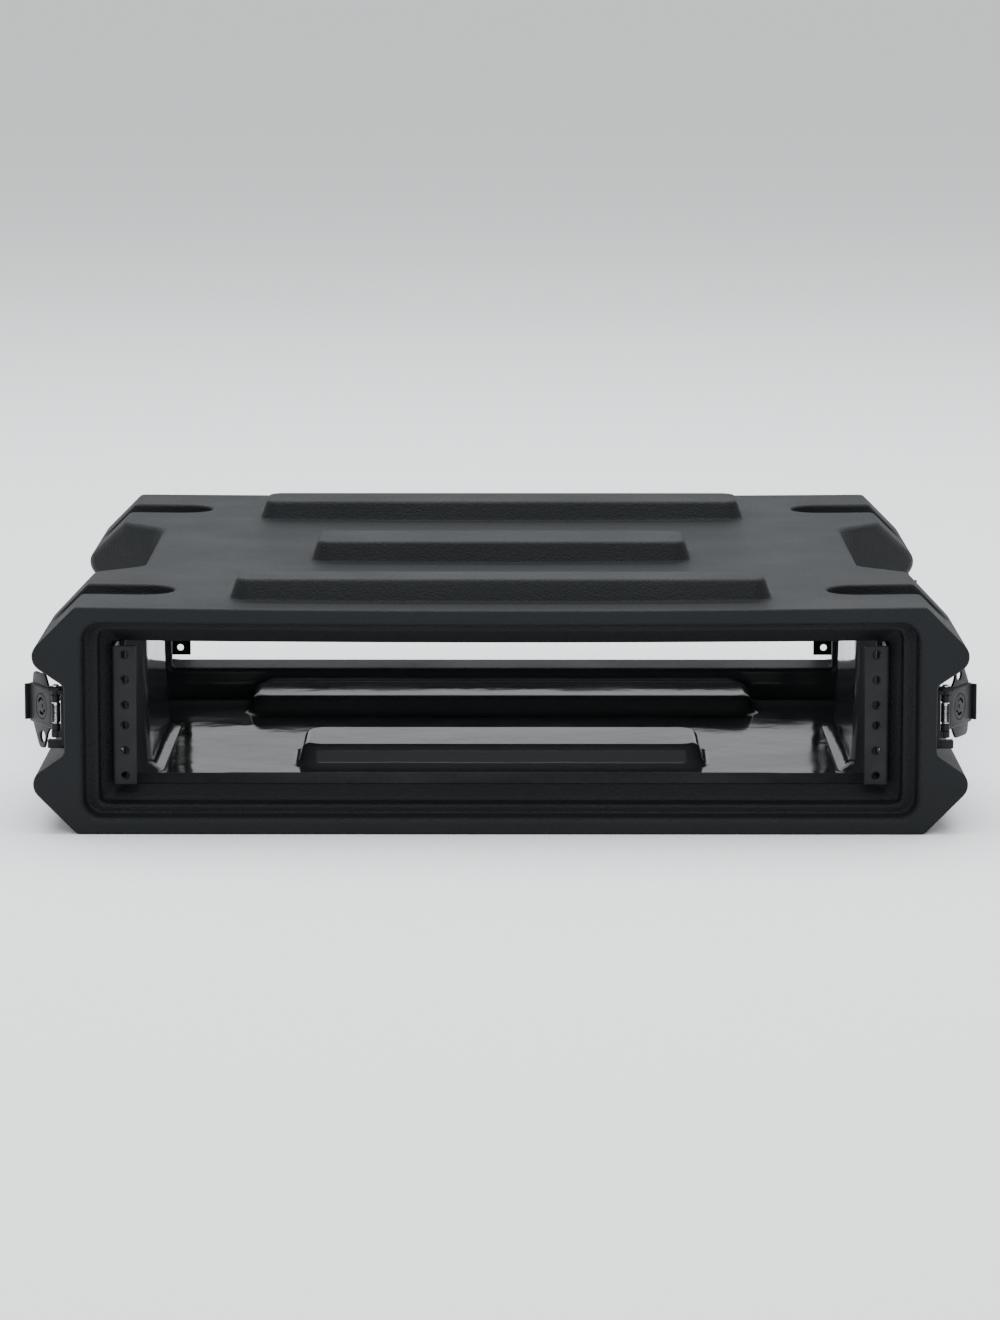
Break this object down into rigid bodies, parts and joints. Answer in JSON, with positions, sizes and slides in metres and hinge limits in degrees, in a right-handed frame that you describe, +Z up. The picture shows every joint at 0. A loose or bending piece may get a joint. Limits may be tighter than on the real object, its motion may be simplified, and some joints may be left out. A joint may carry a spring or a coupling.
{
  "type": "equipment rack case",
  "caption": "Rotationally moulded plastic rack case body for 19-inch equipment, open at both ends, with steel rack rails, swinging twist latches and sprung side handles.",
  "frame": {"origin": "centre of the base plane that the case stands on", "axes": "+X to the right seen from the front, +Y from the front opening to the rear opening, +Z up"},
  "size_m": [0.5948, 0.508, 0.154],
  "materials": {
    "shell": "fine orange-peel texture outside, glossy inside",
    "rail": "black powder coat",
    "latch": "satin black e-coat",
    "steel": "zinc plated",
    "grip": "matte"
  },
  "bodies": {
    "root": {"handle_plate_left": "latch", "handle_plate_right": "latch", "handle_rivet_left_front": "latch", "handle_rivet_left_rear": "latch", "handle_rivet_right_front": "latch", "handle_rivet_right_rear": "latch", "handle_spring_left_front": "steel", "handle_spring_left_rear": "steel", "handle_spring_right_front": "steel", "handle_spring_right_rear": "steel", "latch_base_front_left": "latch", "latch_base_front_right": "latch", "latch_base_rear_left": "latch", "latch_base_rear_right": "latch", "latch_pin_front_left": "steel", "latch_pin_front_right": "steel", "latch_pin_rear_left": "steel", "latch_pin_rear_right": "steel", "latch_rivet_front_left_lower": "latch", "latch_rivet_front_left_upper": "latch", "latch_rivet_front_right_lower": "latch", "latch_rivet_front_right_upper": "latch", "latch_rivet_rear_left_lower": "latch", "latch_rivet_rear_left_upper": "latch", "latch_rivet_rear_right_lower": "latch", "latch_rivet_rear_right_upper": "latch", "latch_spring_front_left": "steel", "latch_spring_front_right": "steel", "latch_spring_rear_left": "steel", "latch_spring_rear_right": "steel", "rack_rail_front_left": "rail", "rack_rail_front_right": "rail", "rack_rail_rear_left": "rail", "rack_rail_rear_right": "rail", "rail_bolt_front_left_lower": "steel", "rail_bolt_front_left_upper": "steel", "rail_bolt_front_right_lower": "steel", "rail_bolt_front_right_upper": "steel", "rail_bolt_rear_left_lower": "steel", "rail_bolt_rear_left_upper": "steel", "rail_bolt_rear_right_lower": "steel", "rail_bolt_rear_right_upper": "steel", "shell": "shell"},
    "flap_front_right": {"latch_flap_front_right": "latch"},
    "hook_front_right": {"latch_hook_front_right": "latch"},
    "turn_front_right": {"latch_thumb_turn_front_right": "latch"},
    "flap_front_left": {"latch_flap_front_left": "latch"},
    "hook_front_left": {"latch_hook_front_left": "latch"},
    "turn_front_left": {"latch_thumb_turn_front_left": "latch"},
    "flap_rear_right": {"latch_flap_rear_right": "latch"},
    "hook_rear_right": {"latch_hook_rear_right": "latch"},
    "turn_rear_right": {"latch_thumb_turn_rear_right": "latch"},
    "flap_rear_left": {"latch_flap_rear_left": "latch"},
    "hook_rear_left": {"latch_hook_rear_left": "latch"},
    "turn_rear_left": {"latch_thumb_turn_rear_left": "latch"},
    "handle_right": {"handle_bail_right": "latch", "handle_grip_right": "grip"},
    "handle_left": {"handle_bail_left": "latch", "handle_grip_left": "grip"}
  },
  "joints": [
    {"name": "latch_front_right_swing", "type": "hinge", "parent": "root", "child": "flap_front_right", "pos_m": [0.2745, -0.24, 0.074], "axis": [0, 0, -1], "range_deg": [0, 150], "stiffness_Nm_per_rad": 0.01},
    {"name": "latch_front_right_turn", "type": "hinge", "parent": "flap_front_right", "child": "turn_front_right", "pos_m": [0.284, -0.22355, 0.075], "axis": [0.866, -0.5, 0], "range_deg": [0, 180]},
    {"name": "latch_front_right_draw", "type": "slide", "parent": "flap_front_right", "child": "hook_front_right", "axis": [0.5, 0.866, 0], "range_m": [0, 0.006]},
    {"name": "latch_front_left_swing", "type": "hinge", "parent": "root", "child": "flap_front_left", "pos_m": [-0.2745, -0.24, 0.074], "axis": [0, 0, 1], "range_deg": [0, 150], "stiffness_Nm_per_rad": 0.01},
    {"name": "latch_front_left_turn", "type": "hinge", "parent": "flap_front_left", "child": "turn_front_left", "pos_m": [-0.284, -0.22355, 0.075], "axis": [-0.866, -0.5, 0], "range_deg": [0, 180]},
    {"name": "latch_front_left_draw", "type": "slide", "parent": "flap_front_left", "child": "hook_front_left", "axis": [-0.5, 0.866, 0], "range_m": [0, 0.006]},
    {"name": "latch_rear_right_swing", "type": "hinge", "parent": "root", "child": "flap_rear_right", "pos_m": [0.2745, 0.24, 0.074], "axis": [0, 0, 1], "range_deg": [0, 150], "stiffness_Nm_per_rad": 0.01},
    {"name": "latch_rear_right_turn", "type": "hinge", "parent": "flap_rear_right", "child": "turn_rear_right", "pos_m": [0.284, 0.22355, 0.075], "axis": [0.866, 0.5, 0], "range_deg": [0, 180]},
    {"name": "latch_rear_right_draw", "type": "slide", "parent": "flap_rear_right", "child": "hook_rear_right", "axis": [0.5, -0.866, 0], "range_m": [0, 0.006]},
    {"name": "latch_rear_left_swing", "type": "hinge", "parent": "root", "child": "flap_rear_left", "pos_m": [-0.2745, 0.24, 0.074], "axis": [0, 0, -1], "range_deg": [0, 150], "stiffness_Nm_per_rad": 0.01},
    {"name": "latch_rear_left_turn", "type": "hinge", "parent": "flap_rear_left", "child": "turn_rear_left", "pos_m": [-0.284, 0.22355, 0.075], "axis": [-0.866, 0.5, 0], "range_deg": [0, 180]},
    {"name": "latch_rear_left_draw", "type": "slide", "parent": "flap_rear_left", "child": "hook_rear_left", "axis": [-0.5, -0.866, 0], "range_m": [0, 0.006]},
    {"name": "handle_right_lift", "type": "hinge", "parent": "root", "child": "handle_right", "pos_m": [0.2504, 0, 0.096], "axis": [0, -1, 0], "range_deg": [0, 90], "stiffness_Nm_per_rad": 0.1},
    {"name": "handle_left_lift", "type": "hinge", "parent": "root", "child": "handle_left", "pos_m": [-0.2504, 0, 0.096], "axis": [0, 1, 0], "range_deg": [0, 90], "stiffness_Nm_per_rad": 0.1}
  ],
  "couplings": [
    {"joint": "latch_front_right_draw", "follows": "latch_front_right_turn", "m_per_rad": 0.0019},
    {"joint": "latch_front_left_draw", "follows": "latch_front_left_turn", "m_per_rad": 0.0019},
    {"joint": "latch_rear_right_draw", "follows": "latch_rear_right_turn", "m_per_rad": 0.0019},
    {"joint": "latch_rear_left_draw", "follows": "latch_rear_left_turn", "m_per_rad": 0.0019}
  ]
}
